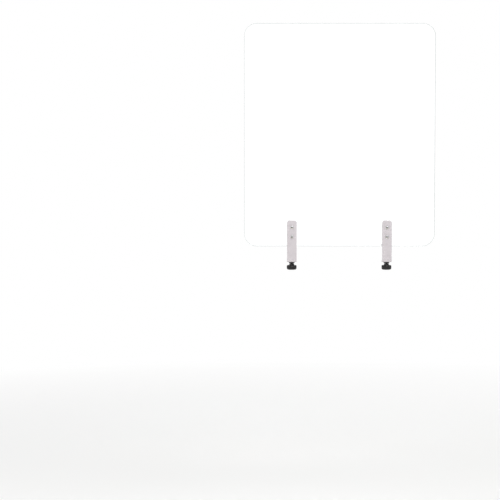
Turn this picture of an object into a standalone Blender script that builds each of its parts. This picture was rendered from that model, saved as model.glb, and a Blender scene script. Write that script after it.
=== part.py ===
# Clear desk screen held on the front edge of a desk top by two C-clamps.
# Each clamp sandwiches the screen between a bent front arm and a rear plate, and a
# thumb screw presses a swivelling foot up against the underside of the desk top.
#
# Frame: +X along the desk edge, +Y over the desk, +Z up. The origin lies on the
# desk's top surface, at its front edge, midway between the two clamps. Metres.

import bmesh
import bpy
from math import cos, pi, radians, sin
from mathutils import Matrix, Vector

# Pieces that touch keep this gap.
TOUCH = 0.0003

# Clear screen
PANEL_WIDTH = 0.600
PANEL_HEIGHT = 0.700
PANEL_THICKNESS = 0.005
PANEL_CORNER_RADIUS = 0.040
PANEL_EDGE_CHAMFER = 0.0006
PANEL_LIFT = 0.0005           # from the desk top up to the screen's lower edge

# Bent steel plates of a clamp
CLAMP_SPACING = 0.300         # between the middles of the two clamps
PLATE_WIDTH = 0.030
PLATE_THICKNESS = 0.003
PLATE_BEND_RADIUS = 0.0045    # on the outside of the bend
PLATE_CORNER_RADIUS = 0.008
PLATE_EDGE_ROUND = 0.0004
ARM_TOP = 0.082
LOWER_JAW_REACH = 0.036
REAR_PLATE_DROP = 0.002       # how far the rear plate ends below the arm's top
UPPER_JAW_REACH = 0.050
JAW_PAD_THICKNESS = 0.0015
JAW_PAD_MARGIN = 0.001
GASKET_THICKNESS = 0.001
GASKET_MARGIN = 0.0005

# Two screws through each clamp
SCREW_HEIGHTS = {"upper": 0.060, "lower": 0.030}
SCREW_RADIUS = 0.003
SCREW_HEAD_RADIUS = 0.00525
SCREW_HEAD_HEIGHT = 0.0033
SOCKET_ACROSS_FLATS = 0.004
SOCKET_DEPTH = 0.0022
SCREW_HEAD_RIM = 0.0006       # straight edge under the domed head
SCREW_HEAD_LAND = 0.0002      # flat ring round the socket
SCREW_CLEARANCE = 0.0003      # between the shank and each hole round it
SLEEVE_WALL = 0.0012
WASHER_RADIUS = 0.006
WASHER_THICKNESS = 0.0016
NUT_ACROSS_FLATS = 0.010
NUT_HEX_HEIGHT = 0.0055
NUT_DOME_HEIGHT = 0.0065
NUT_DOME_RADIUS = 0.00475
THREAD_ENGAGEMENT = 0.0075
NUT_BORE_SPARE = 0.0008       # depth left below the shank's end

# Thumb screw, from the foot under the desk top down to the knob
DESK_THICKNESS = 0.018        # opening between the pads as modelled
OPENING_TRAVEL = 0.0195       # how far the foot winds down from there
CLOSING_TRAVEL = 0.001        # how far it winds up
END_CLEARANCE = 0.0005        # left above the bush with the foot wound right down
SPINDLE_REACH = 0.018         # from the desk's edge to the spindle's axis
SPINDLE_RADIUS = 0.004
SPINDLE_CLEARANCE = 0.0003
TIP_RADIUS = 0.0025
TIP_SPARE = 0.0008            # of the tip, above the clip
FOOT_PAD_THICKNESS = 0.0017
FOOT_PAD_RADIUS = 0.0100
FOOT_RADIUS = 0.0105
FOOT_THICKNESS = 0.005
FOOT_CHAMFER = 0.0010
FOOT_FLOOR = 0.0022           # under the recess that holds the clip
FOOT_RIM = 0.0045             # wall round the recess
CLIP_THICKNESS = 0.0006
CLIP_GRIP = 0.0005            # how far the clip reaches into the tip's groove
CLIP_WIDTH = 0.0022
CLIP_MOUTH = 0.0030
BUSH_WALL = 0.0017
BUSH_LIP_WIDTH = 0.0013
BUSH_LIP_THICKNESS = 0.0012
BUSH_FLANGE_RADIUS = 0.009
BUSH_FLANGE_THICKNESS = 0.0038
KNOB_BOSS_RADIUS = 0.0075
KNOB_BOSS_HEIGHT = 0.0051
KNOB_RADIUS = 0.0155
KNOB_HEIGHT = 0.0152
KNOB_TOP_ROUND = 0.003
KNOB_BASE_ROUND = 0.005
KNOB_FLOOR = 0.004            # below the spindle's seat
KNOB_FLUTES = 8
KNOB_FLUTE_RADIUS = 0.005
KNOB_FLUTE_DEPTH = 0.0018

SMALL_CHAMFER = 0.0004
ROUND_STEPS = 20
KNOB_STEPS = 32
FLUTE_STEPS = 12
ARC_STEPS = 6                 # segments in a quarter turn of a plate's corner or bend
DOME_STEPS = 4
KNOB_EDGE_STEPS = 3
PANEL_ARC_STEPS = 10
MERGE = 0.00001
CUT_SPARE = 0.002             # how far a cutter runs past the surface it opens

# Depths behind the desk's edge, from the front arm back to the cap nuts
panel_front = GASKET_THICKNESS + 2 * TOUCH
panel_back = panel_front + PANEL_THICKNESS
rear_gasket_front = panel_back + TOUCH
rear_plate_front = rear_gasket_front + GASKET_THICKNESS + TOUCH
rear_plate_back = rear_plate_front + PLATE_THICKNESS
washer_front = rear_plate_back + TOUCH
nut_front = washer_front + WASHER_THICKNESS + TOUCH
shank_end = nut_front + THREAD_ENGAGEMENT

# Heights, from the upper jaw down to the knob
upper_jaw_bottom = JAW_PAD_THICKNESS + TOUCH
foot_top = -DESK_THICKNESS - FOOT_PAD_THICKNESS - TOUCH
foot_bottom = foot_top - FOOT_THICKNESS
recess_floor = foot_bottom + FOOT_FLOOR
clip_bottom = recess_floor + TOUCH
clip_top = clip_bottom + CLIP_THICKNESS
tip_top = clip_top + TOUCH + TIP_SPARE
shoulder_top = foot_bottom - TOUCH
bush_top = foot_bottom - OPENING_TRAVEL - END_CLEARANCE
lip_bottom = bush_top - BUSH_LIP_THICKNESS
lower_jaw_bottom = lip_bottom - TOUCH - PLATE_THICKNESS
flange_top = lower_jaw_bottom - TOUCH
flange_bottom = flange_top - BUSH_FLANGE_THICKNESS
boss_top = flange_bottom - CLOSING_TRAVEL - TOUCH
knob_top = boss_top - KNOB_BOSS_HEIGHT
knob_bottom = knob_top - KNOB_HEIGHT
spindle_bottom = knob_bottom + KNOB_FLOOR

# Radii of holes
screw_hole = SCREW_RADIUS + SCREW_CLEARANCE
sleeve_radius = screw_hole + SLEEVE_WALL
panel_hole = sleeve_radius + TOUCH
spindle_hole = SPINDLE_RADIUS + SPINDLE_CLEARANCE
bush_radius = spindle_hole + BUSH_WALL
tip_hole = TIP_RADIUS + SPINDLE_CLEARANCE
clip_inner = TIP_RADIUS - CLIP_GRIP


for old in list(bpy.data.objects):
    bpy.data.objects.remove(old)

parts = bpy.data.collections.new("desk_privacy_panel")
cutters = bpy.data.collections.new("cutters")
for group in (parts, cutters):
    bpy.context.scene.collection.children.link(group)


def make_material(name, colour, roughness, metallic=0.0, transmission=0.0):
    material = bpy.data.materials.new(name)
    material.use_nodes = True
    shader = material.node_tree.nodes["Principled BSDF"]
    shader.inputs["Base Color"].default_value = (*colour, 1.0)
    shader.inputs["Roughness"].default_value = roughness
    shader.inputs["Metallic"].default_value = metallic
    shader.inputs["Transmission Weight"].default_value = transmission
    material.diffuse_color = (*colour, 1.0)
    return material


# Colours are linear.
CLEAR_ACRYLIC = make_material("clear_acrylic", (0.92, 0.95, 0.95), 0.03, transmission=1.0)
SILVER_COAT = make_material("silver_powder_coat", (0.66, 0.64, 0.65), 0.42, 0.3)
ZINC_STEEL = make_material("zinc_plated_steel", (0.62, 0.62, 0.62), 0.3, 1.0)
BLACK_PLASTIC = make_material("black_moulded_plastic", (0.035, 0.030, 0.033), 0.45)
DARK_RUBBER = make_material("dark_rubber", (0.025, 0.025, 0.026), 0.8)
GASKET_SHEET = make_material("clear_silicone", (0.70, 0.71, 0.71), 0.35)
WHITE_NYLON = make_material("white_nylon", (0.80, 0.80, 0.78), 0.5)


def make_object(name, mesh, group, parent=None, material=None):
    part = bpy.data.objects.new(name, mesh)
    group.objects.link(part)
    part.parent = parent
    if material:
        mesh.materials.append(material)
    if group == cutters:
        part.hide_render = True
        part.display_type = "WIRE"
    return part


def make_axis(name, place, parent=None):
    axis = bpy.data.objects.new(name, None)
    axis.empty_display_size = 0.02
    axis.location = place
    axis.parent = parent
    parts.objects.link(axis)
    return axis


def turned(name, profile, parent, material=None, ring=False, steps=ROUND_STEPS, group=parts):
    # Profile points are (radius, height) and run down the outer side from the top.
    # A ring's profile goes on up the inner side and closes on itself.
    last = len(profile) - 1
    edges = [(i, i + 1) for i in range(last)]
    if ring:
        edges.append((last, 0))
    mesh = bpy.data.meshes.new(name)
    mesh.from_pydata([(radius, 0.0, height) for radius, height in profile], edges, [])
    part = make_object(name, mesh, group, parent, material)
    spin = part.modifiers.new("Spin", "SCREW")
    spin.steps = steps
    spin.render_steps = steps
    spin.use_merge_vertices = True
    spin.merge_threshold = MERGE
    return part


def ring_profile(inner, outer, low, high):
    return [(outer, high), (outer, low), (inner, low), (inner, high)]


def face_back(part):
    # Turns a piece's local +Z to +Y, so that its heights become depths.
    part.rotation_euler = (-pi / 2, 0.0, 0.0)
    return part


def cylinder_cutter(name, radius, low, high, parent, sides=ROUND_STEPS):
    mesh = bpy.data.meshes.new(name)
    shape = bmesh.new()
    bmesh.ops.create_cone(
        shape, cap_ends=True, segments=sides, radius1=radius, radius2=radius, depth=high - low,
        matrix=Matrix.Translation((0.0, 0.0, (low + high) / 2)))
    shape.to_mesh(mesh)
    shape.free()
    return make_object(name, mesh, cutters, parent)


def combine(part, tool, operation="DIFFERENCE"):
    boolean = part.modifiers.new(tool.name, "BOOLEAN")
    boolean.operation = operation
    boolean.solver = "EXACT"
    boolean.object = tool


def rounded_block(name, low, high, thin_axis, radius, steps, parent, material):
    # A plate with its four corners rounded about the thin axis.
    low = Vector(low)
    high = Vector(high)
    shape = bmesh.new()
    bmesh.ops.create_cube(shape, size=1.0)
    bmesh.ops.scale(shape, vec=high - low, verts=shape.verts)
    bmesh.ops.translate(shape, vec=(low + high) / 2, verts=shape.verts)
    across = [edge for edge in shape.edges
              if abs((edge.verts[0].co - edge.verts[1].co).normalized()[thin_axis]) > 0.5]
    bmesh.ops.bevel(
        shape, geom=across, offset=radius, offset_type="OFFSET", segments=steps, profile=0.5,
        affect="EDGES")
    mesh = bpy.data.meshes.new(name)
    shape.to_mesh(mesh)
    shape.free()
    return make_object(name, mesh, parts, parent, material)


def bent_plate(name, top, front, bottom, reach, parent):
    # A strip that comes down at its front depth, bends once and runs back to its reach.
    # The sheet is the strip's outer face, and Solidify gives it its thickness inwards.
    bend_y = front + PLATE_BEND_RADIUS
    bend_z = bottom + PLATE_BEND_RADIUS
    path = [(front, top)]
    for i in range(ARC_STEPS + 1):
        angle = pi / 2 * i / ARC_STEPS
        path.append((bend_y - PLATE_BEND_RADIUS * cos(angle), bend_z - PLATE_BEND_RADIUS * sin(angle)))
    path.append((reach, bottom))
    shape = bmesh.new()
    row = [shape.verts.new((-PLATE_WIDTH / 2, y, z)) for y, z in path]
    run = [shape.edges.new(pair) for pair in zip(row, row[1:])]
    made = bmesh.ops.extrude_edge_only(shape, edges=run)["geom"]
    far_row = [item for item in made if isinstance(item, bmesh.types.BMVert)]
    bmesh.ops.translate(shape, vec=(PLATE_WIDTH, 0.0, 0.0), verts=far_row)
    corners = [vert for vert in shape.verts if vert.co.z > top - MERGE or vert.co.y > reach - MERGE]
    bmesh.ops.bevel(
        shape, geom=corners, offset=PLATE_CORNER_RADIUS, offset_type="OFFSET", segments=ARC_STEPS,
        profile=0.5, affect="VERTICES")
    bmesh.ops.recalc_face_normals(shape, faces=shape.faces)
    if min(shape.faces, key=lambda face: face.calc_center_median().y).normal.y > 0:
        bmesh.ops.reverse_faces(shape, faces=shape.faces)
    mesh = bpy.data.meshes.new(name)
    shape.to_mesh(mesh)
    shape.free()
    plate = make_object(name, mesh, parts, parent, SILVER_COAT)
    sheet = plate.modifiers.new("Sheet thickness", "SOLIDIFY")
    sheet.thickness = PLATE_THICKNESS
    sheet.offset = -1.0
    sheet.use_even_offset = True
    edge_round = plate.modifiers.new("Rounded edges", "BEVEL")
    edge_round.width = PLATE_EDGE_ROUND
    edge_round.segments = 2
    edge_round.limit_method = "ANGLE"
    edge_round.angle_limit = radians(50)
    return plate


def make_panel():
    panel = rounded_block(
        "clear_panel", (-PANEL_WIDTH / 2, panel_front, PANEL_LIFT),
        (PANEL_WIDTH / 2, panel_back, PANEL_LIFT + PANEL_HEIGHT), 1, PANEL_CORNER_RADIUS,
        PANEL_ARC_STEPS, None, CLEAR_ACRYLIC)
    chamfer = panel.modifiers.new("Polished edge", "BEVEL")
    chamfer.width = PANEL_EDGE_CHAMFER
    chamfer.segments = 1
    chamfer.limit_method = "ANGLE"
    chamfer.angle_limit = radians(50)
    return panel


def make_sandwich(side, clamp):
    # Arm, gaskets and rear plate, in the order they are stacked from the front.
    arm = bent_plate(
        f"{side}_clamp_arm", ARM_TOP, -PLATE_THICKNESS, lower_jaw_bottom, LOWER_JAW_REACH, clamp)
    plate = bent_plate(
        f"{side}_back_plate", ARM_TOP - REAR_PLATE_DROP, rear_plate_front, upper_jaw_bottom,
        UPPER_JAW_REACH, clamp)
    half = PLATE_WIDTH / 2 - GASKET_MARGIN
    low = PANEL_LIFT + GASKET_MARGIN
    high = ARM_TOP - REAR_PLATE_DROP - GASKET_MARGIN
    gaskets = [
        rounded_block(
            f"{side}_{place}_gasket", (-half, front, low), (half, front + GASKET_THICKNESS, high), 1,
            PLATE_CORNER_RADIUS - GASKET_MARGIN, ARC_STEPS, clamp, GASKET_SHEET)
        for place, front in (("front", TOUCH), ("rear", rear_gasket_front))]
    pad_half = PLATE_WIDTH / 2 - JAW_PAD_MARGIN
    pad_front = rear_plate_front + PLATE_BEND_RADIUS
    rounded_block(
        f"{side}_jaw_pad", (-pad_half, pad_front, 0.0),
        (pad_half, UPPER_JAW_REACH - JAW_PAD_MARGIN, JAW_PAD_THICKNESS), 2,
        PLATE_CORNER_RADIUS - JAW_PAD_MARGIN, ARC_STEPS, clamp, DARK_RUBBER)
    return arm, plate, gaskets


def make_screw(name, spot):
    head_bottom = -PLATE_THICKNESS - TOUCH
    head_top = head_bottom - SCREW_HEAD_HEIGHT
    dome_height = SCREW_HEAD_HEIGHT - SCREW_HEAD_RIM
    socket_radius = SOCKET_ACROSS_FLATS / 2 / cos(pi / 6)
    land_radius = socket_radius + SCREW_HEAD_LAND
    profile = [(0.0, shank_end), (SCREW_RADIUS - SMALL_CHAMFER, shank_end),
               (SCREW_RADIUS, shank_end - SMALL_CHAMFER), (SCREW_RADIUS, head_bottom),
               (SCREW_HEAD_RADIUS, head_bottom)]
    for i in range(DOME_STEPS + 1):
        angle = pi / 2 * i / DOME_STEPS
        radius = land_radius + (SCREW_HEAD_RADIUS - land_radius) * cos(angle)
        profile.append((radius, head_bottom - SCREW_HEAD_RIM - dome_height * sin(angle)))
    profile.append((0.0, head_top))
    screw = face_back(turned(name, profile, spot, ZINC_STEEL))
    socket = face_back(cylinder_cutter(
        f"{name}_socket", socket_radius, head_top - CUT_SPARE, head_top + SOCKET_DEPTH, spot, 6))
    combine(screw, socket)


def make_cap_nut(name, spot):
    hex_radius = NUT_ACROSS_FLATS / 2 / cos(pi / 6)
    hex_back = nut_front + NUT_HEX_HEIGHT
    dome_back = hex_back + NUT_DOME_HEIGHT
    straight = NUT_DOME_HEIGHT - NUT_DOME_RADIUS
    mesh = bpy.data.meshes.new(name)
    shape = bmesh.new()
    bmesh.ops.create_cone(
        shape, cap_ends=True, segments=6, radius1=hex_radius, radius2=hex_radius,
        depth=NUT_HEX_HEIGHT, matrix=Matrix.Translation((0.0, 0.0, (nut_front + hex_back) / 2)))
    shape.to_mesh(mesh)
    shape.free()
    nut = face_back(make_object(name, mesh, parts, spot, ZINC_STEEL))
    profile = [(0.0, dome_back)]
    for i in range(1, DOME_STEPS + 1):
        angle = pi / 2 * i / DOME_STEPS
        profile.append((NUT_DOME_RADIUS * sin(angle),
                        hex_back + straight + NUT_DOME_RADIUS * cos(angle)))
    root = hex_back - NUT_HEX_HEIGHT / 2
    profile += [(NUT_DOME_RADIUS, root), (0.0, root)]
    combine(nut, face_back(turned(f"{name}_dome", profile, spot, group=cutters)), "UNION")
    combine(nut, face_back(cylinder_cutter(
        f"{name}_bore", screw_hole, nut_front - CUT_SPARE, shank_end + NUT_BORE_SPARE, spot)))


def make_fasteners(side, clamp, panel, drilled):
    for place, height in SCREW_HEIGHTS.items():
        spot = make_axis(f"{side}_{place}_screw_axis", (0.0, 0.0, height), clamp)
        make_screw(f"{side}_{place}_screw", spot)
        face_back(turned(
            f"{side}_{place}_sleeve", ring_profile(screw_hole, sleeve_radius, panel_front, panel_back),
            spot, WHITE_NYLON, ring=True))
        face_back(turned(
            f"{side}_{place}_washer",
            ring_profile(screw_hole, WASHER_RADIUS, washer_front, washer_front + WASHER_THICKNESS),
            spot, ZINC_STEEL, ring=True))
        make_cap_nut(f"{side}_{place}_cap_nut", spot)
        drill = face_back(cylinder_cutter(
            f"{side}_{place}_drill", screw_hole, -PLATE_THICKNESS - CUT_SPARE, nut_front, spot))
        for plate in drilled:
            combine(plate, drill)
        combine(panel, face_back(cylinder_cutter(
            f"{side}_{place}_panel_drill", panel_hole, panel_front - CUT_SPARE,
            panel_back + CUT_SPARE, spot)))


def make_bush(side, arm, clamp):
    axis = make_axis(f"{side}_bush_axis", (0.0, SPINDLE_REACH, 0.0), clamp)
    lip_radius = bush_radius + BUSH_LIP_WIDTH
    profile = [(lip_radius, bush_top), (lip_radius, lip_bottom), (bush_radius, lip_bottom),
               (bush_radius, flange_top), (BUSH_FLANGE_RADIUS, flange_top),
               (BUSH_FLANGE_RADIUS, flange_bottom), (spindle_hole, flange_bottom),
               (spindle_hole, bush_top)]
    turned(f"{side}_screw_bush", profile, axis, BLACK_PLASTIC, ring=True)
    combine(arm, cylinder_cutter(
        f"{side}_bush_drill", bush_radius + TOUCH, lower_jaw_bottom - CUT_SPARE,
        lip_bottom + CUT_SPARE, axis))


def make_foot(side, clamp):
    axis = make_axis(f"{side}_foot_axis", (0.0, SPINDLE_REACH, 0.0), clamp)
    recess = FOOT_RADIUS - FOOT_RIM
    profile = [(FOOT_RADIUS - SMALL_CHAMFER, foot_top), (FOOT_RADIUS, foot_top - SMALL_CHAMFER),
               (FOOT_RADIUS, foot_bottom + FOOT_CHAMFER), (FOOT_RADIUS - FOOT_CHAMFER, foot_bottom),
               (tip_hole, foot_bottom), (tip_hole, recess_floor), (recess, recess_floor),
               (recess, foot_top)]
    turned(f"{side}_pressure_foot", profile, axis, BLACK_PLASTIC, ring=True)
    pad_top = -DESK_THICKNESS
    pad_bottom = pad_top - FOOT_PAD_THICKNESS
    pad_profile = [(0.0, pad_top), (FOOT_PAD_RADIUS - SMALL_CHAMFER, pad_top),
                   (FOOT_PAD_RADIUS, pad_top - SMALL_CHAMFER), (FOOT_PAD_RADIUS, pad_bottom),
                   (0.0, pad_bottom)]
    turned(f"{side}_foot_pad", pad_profile, axis, DARK_RUBBER)


def make_spindle(side, axis):
    groove = clip_inner - TOUCH
    profile = [(0.0, tip_top), (TIP_RADIUS - SMALL_CHAMFER, tip_top),
               (TIP_RADIUS, tip_top - SMALL_CHAMFER),
               (TIP_RADIUS, clip_top + TOUCH), (groove, clip_top + TOUCH),
               (groove, clip_bottom - TOUCH), (TIP_RADIUS, clip_bottom - TOUCH),
               (TIP_RADIUS, shoulder_top), (SPINDLE_RADIUS - SMALL_CHAMFER, shoulder_top),
               (SPINDLE_RADIUS, shoulder_top - SMALL_CHAMFER),
               (SPINDLE_RADIUS, spindle_bottom + SMALL_CHAMFER),
               (SPINDLE_RADIUS - SMALL_CHAMFER, spindle_bottom), (0.0, spindle_bottom)]
    turned(f"{side}_spindle", profile, axis, ZINC_STEEL)
    clip = turned(
        f"{side}_retaining_clip",
        ring_profile(clip_inner, clip_inner + CLIP_WIDTH, clip_bottom, clip_top), axis, ZINC_STEEL,
        ring=True)
    mesh = bpy.data.meshes.new("clip_mouth")
    shape = bmesh.new()
    bmesh.ops.create_cube(shape, size=1.0)
    reach = clip_inner + CLIP_WIDTH + CUT_SPARE
    bmesh.ops.scale(shape, vec=(CLIP_MOUTH, reach, CLIP_THICKNESS + 2 * CUT_SPARE), verts=shape.verts)
    bmesh.ops.translate(shape, vec=(0.0, -reach / 2, (clip_bottom + clip_top) / 2), verts=shape.verts)
    shape.to_mesh(mesh)
    shape.free()
    combine(clip, make_object(f"{side}_clip_mouth", mesh, cutters, axis))


def make_knob(side, axis):
    profile = [(KNOB_BOSS_RADIUS - SMALL_CHAMFER, boss_top),
               (KNOB_BOSS_RADIUS, boss_top - SMALL_CHAMFER), (KNOB_BOSS_RADIUS, knob_top)]
    for middle, edge_round, start in (
            (knob_top - KNOB_TOP_ROUND, KNOB_TOP_ROUND, pi / 2),
            (knob_bottom + KNOB_BASE_ROUND, KNOB_BASE_ROUND, 0.0)):
        crown = KNOB_RADIUS - edge_round
        for i in range(KNOB_EDGE_STEPS + 1):
            angle = start - pi / 2 * i / KNOB_EDGE_STEPS
            profile.append((crown + edge_round * cos(angle), middle + edge_round * sin(angle)))
    seat = spindle_bottom - TOUCH
    profile += [(0.0, knob_bottom), (0.0, seat), (spindle_hole, seat), (spindle_hole, boss_top)]
    knob = turned(f"{side}_knob", profile, axis, BLACK_PLASTIC, ring=True, steps=KNOB_STEPS)
    mesh = bpy.data.meshes.new("knob_flutes")
    shape = bmesh.new()
    ring_radius = KNOB_RADIUS + KNOB_FLUTE_RADIUS - KNOB_FLUTE_DEPTH
    for i in range(KNOB_FLUTES):
        angle = 2 * pi * (i + 0.5) / KNOB_FLUTES
        place = (ring_radius * cos(angle), ring_radius * sin(angle), (knob_top + knob_bottom) / 2)
        bmesh.ops.create_cone(
            shape, cap_ends=True, segments=FLUTE_STEPS, radius1=KNOB_FLUTE_RADIUS,
            radius2=KNOB_FLUTE_RADIUS, depth=KNOB_HEIGHT + 2 * CUT_SPARE,
            matrix=Matrix.Translation(place))
    shape.to_mesh(mesh)
    shape.free()
    combine(knob, make_object(f"{side}_knob_flutes", mesh, cutters, axis))


panel = make_panel()
for side, direction in (("left", -1), ("right", 1)):
    clamp = make_axis(f"{side}_clamp", (direction * CLAMP_SPACING / 2, 0.0, 0.0))
    arm, plate, gaskets = make_sandwich(side, clamp)
    make_fasteners(side, clamp, panel, [arm, plate, *gaskets])
    make_bush(side, arm, clamp)
    make_foot(side, clamp)
    screw_axis = make_axis(f"{side}_thumb_screw_axis", (0.0, SPINDLE_REACH, 0.0), clamp)
    make_spindle(side, screw_axis)
    make_knob(side, screw_axis)

for part in parts.objects:
    if part.type == "MESH" and part.modifiers:
        part.data.shade_smooth()
        part.data.set_sharp_from_angle(angle=radians(30))
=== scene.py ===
# Clear acrylic desk screen on two steel C-clamps.
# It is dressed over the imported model: metres, +X along the desk edge, +Y over the desk, +Z up.
import math
import bmesh
import bpy
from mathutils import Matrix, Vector


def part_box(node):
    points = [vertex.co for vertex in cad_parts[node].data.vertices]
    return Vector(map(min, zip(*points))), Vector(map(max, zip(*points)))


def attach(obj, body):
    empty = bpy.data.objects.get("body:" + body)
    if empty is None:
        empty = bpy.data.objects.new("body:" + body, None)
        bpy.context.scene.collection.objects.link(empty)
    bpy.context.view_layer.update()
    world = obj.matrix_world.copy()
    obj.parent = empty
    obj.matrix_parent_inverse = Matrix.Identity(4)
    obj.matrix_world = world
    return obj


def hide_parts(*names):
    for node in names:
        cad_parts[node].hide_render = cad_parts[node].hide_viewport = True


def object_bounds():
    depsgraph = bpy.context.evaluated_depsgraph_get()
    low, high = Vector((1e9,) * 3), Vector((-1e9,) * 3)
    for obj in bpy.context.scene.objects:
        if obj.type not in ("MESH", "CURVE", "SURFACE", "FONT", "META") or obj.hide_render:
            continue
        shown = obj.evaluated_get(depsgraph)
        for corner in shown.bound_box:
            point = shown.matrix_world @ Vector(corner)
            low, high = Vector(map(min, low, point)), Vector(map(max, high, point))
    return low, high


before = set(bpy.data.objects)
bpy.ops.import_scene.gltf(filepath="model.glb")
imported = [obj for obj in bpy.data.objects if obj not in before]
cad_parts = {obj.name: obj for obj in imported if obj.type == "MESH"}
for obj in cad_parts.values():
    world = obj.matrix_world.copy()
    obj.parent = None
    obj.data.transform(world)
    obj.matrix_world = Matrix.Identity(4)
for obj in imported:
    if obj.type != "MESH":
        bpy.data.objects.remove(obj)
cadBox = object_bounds()
mm = 0.001
sides = ("left", "right")
levels = ("upper", "lower")
print("frame loaded with", len(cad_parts), "nodes")

# camera: a long lens a little above the clamps, looking slightly down
cameraSet = {"place": (-0.282, -6.06, 0.404), "tiltDown": 3.92, "lens": 138.6}
cameraData = bpy.data.cameras.new("longLens")
cameraData.lens = cameraSet["lens"]
camera = bpy.data.objects.new("longLens", cameraData)
camera.location = cameraSet["place"]
camera.rotation_euler = (math.radians(90 - cameraSet["tiltDown"]), 0, 0)
bpy.context.scene.collection.objects.link(camera)
bpy.context.scene.camera = camera
print("camera placed")


def linear(hexColour):
    # sRGB hex to linear colour
    parts = [int(hexColour[i:i + 2], 16) / 255 for i in (1, 3, 5)]
    return (*[c / 12.92 if c <= 0.04045 else ((c + 0.055) / 1.055) ** 2.4 for c in parts], 1)


def addNode(tree, kind, inputs=None, **settings):
    # adds a node; an input is a value, a colour, a node (its first output) or one of a node's outputs
    node = tree.nodes.new("ShaderNode" + kind)
    for name, value in settings.items():
        setattr(node, name, value)
    for name, value in (inputs or {}).items():
        if isinstance(name, int):
            socket = node.inputs[name]
        else:
            socket = next(s for s in node.inputs if s.name == name and s.enabled)
        if isinstance(value, bpy.types.Node):
            value = next(s for s in value.outputs if s.enabled)
        if isinstance(value, bpy.types.NodeSocket):
            tree.links.new(value, socket)
        else:
            socket.default_value = value
    return node


def newMaterial(name):
    material = bpy.data.materials.new(name)
    material.use_nodes = True
    tree = material.node_tree
    tree.nodes.clear()
    return material, tree, addNode(tree, "TexCoord").outputs["Object"]


noiseSpan = {"From Min": 0.35, "From Max": 0.65}  # where most of a noise's values lie
edgeSpan = {"From Min": 0.995, "From Max": 0.90}  # a softened normal against the true one, at an edge

# Cast acrylic sheet, cell cast between glass plates: water clear and glossy to the eye,
# very slightly wavy, with a few wipe marks that only show where light glances off them.
acrylic = {"tint": "#FDFEFE", "ior": 1.49, "wave": 90 * mm, "waveDepth": 0.012 * mm,
           "wipe": 3 * mm, "wipeStretch": (1, 1, 0.08), "fewWipes": 0.62, "allWipes": 0.80,
           "clean": 0.0, "wiped": 0.03}


def castAcrylic():
    material, tree, place = newMaterial("castAcrylic")
    wave = addNode(tree, "TexNoise", {"Vector": place, "Scale": 1 / acrylic["wave"], "Detail": 1.0})
    strokes = addNode(tree, "Mapping", {"Vector": place, "Scale": acrylic["wipeStretch"]})
    wipe = addNode(tree, "TexNoise", {"Vector": strokes, "Scale": 1 / acrylic["wipe"], "Detail": 3.0})
    rough = addNode(tree, "MapRange", {
        "Value": wipe, "From Min": acrylic["fewWipes"], "From Max": acrylic["allWipes"],
        "To Min": acrylic["clean"], "To Max": acrylic["wiped"]})
    uneven = addNode(tree, "Bump", {"Height": wave, "Distance": acrylic["waveDepth"]})
    clear = addNode(tree, "BsdfPrincipled", {
        "Base Color": linear(acrylic["tint"]), "Transmission Weight": 1.0, "IOR": acrylic["ior"],
        "Roughness": rough, "Normal": uneven})
    # lamps shine through the sheet on to what is behind it
    letThrough = addNode(tree, "BsdfTransparent", {"Color": linear(acrylic["tint"])})
    lampRay = addNode(tree, "LightPath").outputs["Is Shadow Ray"]
    shader = addNode(tree, "MixShader", {0: lampRay, 1: clear, 2: letThrough})
    addNode(tree, "OutputMaterial", {"Surface": shader})
    return material


# Sawn and flame-polished edge of the sheet: pale grey glass to the eye, a little hazier than the faces,
# because fine saw lines across the thickness scatter some light; the grey of the share that does not
# pass light is also painted shade for the darker line a rounded edge shows by refraction.
edge = {"tint": "#B0B8B7", "ior": 1.49, "clear": 0.55, "line": 0.8 * mm, "lineStretch": (1, 0.05, 1),
        "lineDepth": 0.02 * mm, "polished": 0.08, "hazy": 0.26}


def polishedAcrylicEdge():
    material, tree, place = newMaterial("polishedAcrylicEdge")
    across = addNode(tree, "Mapping", {"Vector": place, "Scale": edge["lineStretch"]})
    lines = addNode(tree, "TexNoise", {"Vector": across, "Scale": 1 / edge["line"], "Detail": 2.0})
    rough = addNode(tree, "MapRange", {
        "Value": lines, **noiseSpan, "To Min": edge["polished"], "To Max": edge["hazy"]})
    sawn = addNode(tree, "Bump", {"Height": lines, "Distance": edge["lineDepth"], "Strength": 0.5})
    # partly painted shade: the grey base colour on the part that is not transmitted darkens the edge
    # line
    shader = addNode(tree, "BsdfPrincipled", {
        "Base Color": linear(edge["tint"]), "Transmission Weight": edge["clear"], "IOR": edge["ior"],
        "Roughness": rough, "Normal": sawn})
    addNode(tree, "OutputMaterial", {"Surface": shader})
    return material


# Silver polyester powder coat baked on steel: satin pale grey with a faint warm cast, fine orange
# peel, a glitter of aluminium flake, and a thinner, brighter film over the sheared edges.
coat = {"light": "#DDD7DA", "dark": "#D5CED1", "edge": "#E8E5E6", "metal": 0.3, "peel": 1.2 * mm,
        "peelDepth": 0.03 * mm, "flake": 0.22 * mm, "cloud": 24 * mm, "satin": 0.36, "matt": 0.46,
        "edgeWidth": 0.7 * mm, "edgeShare": 0.55}


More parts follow.
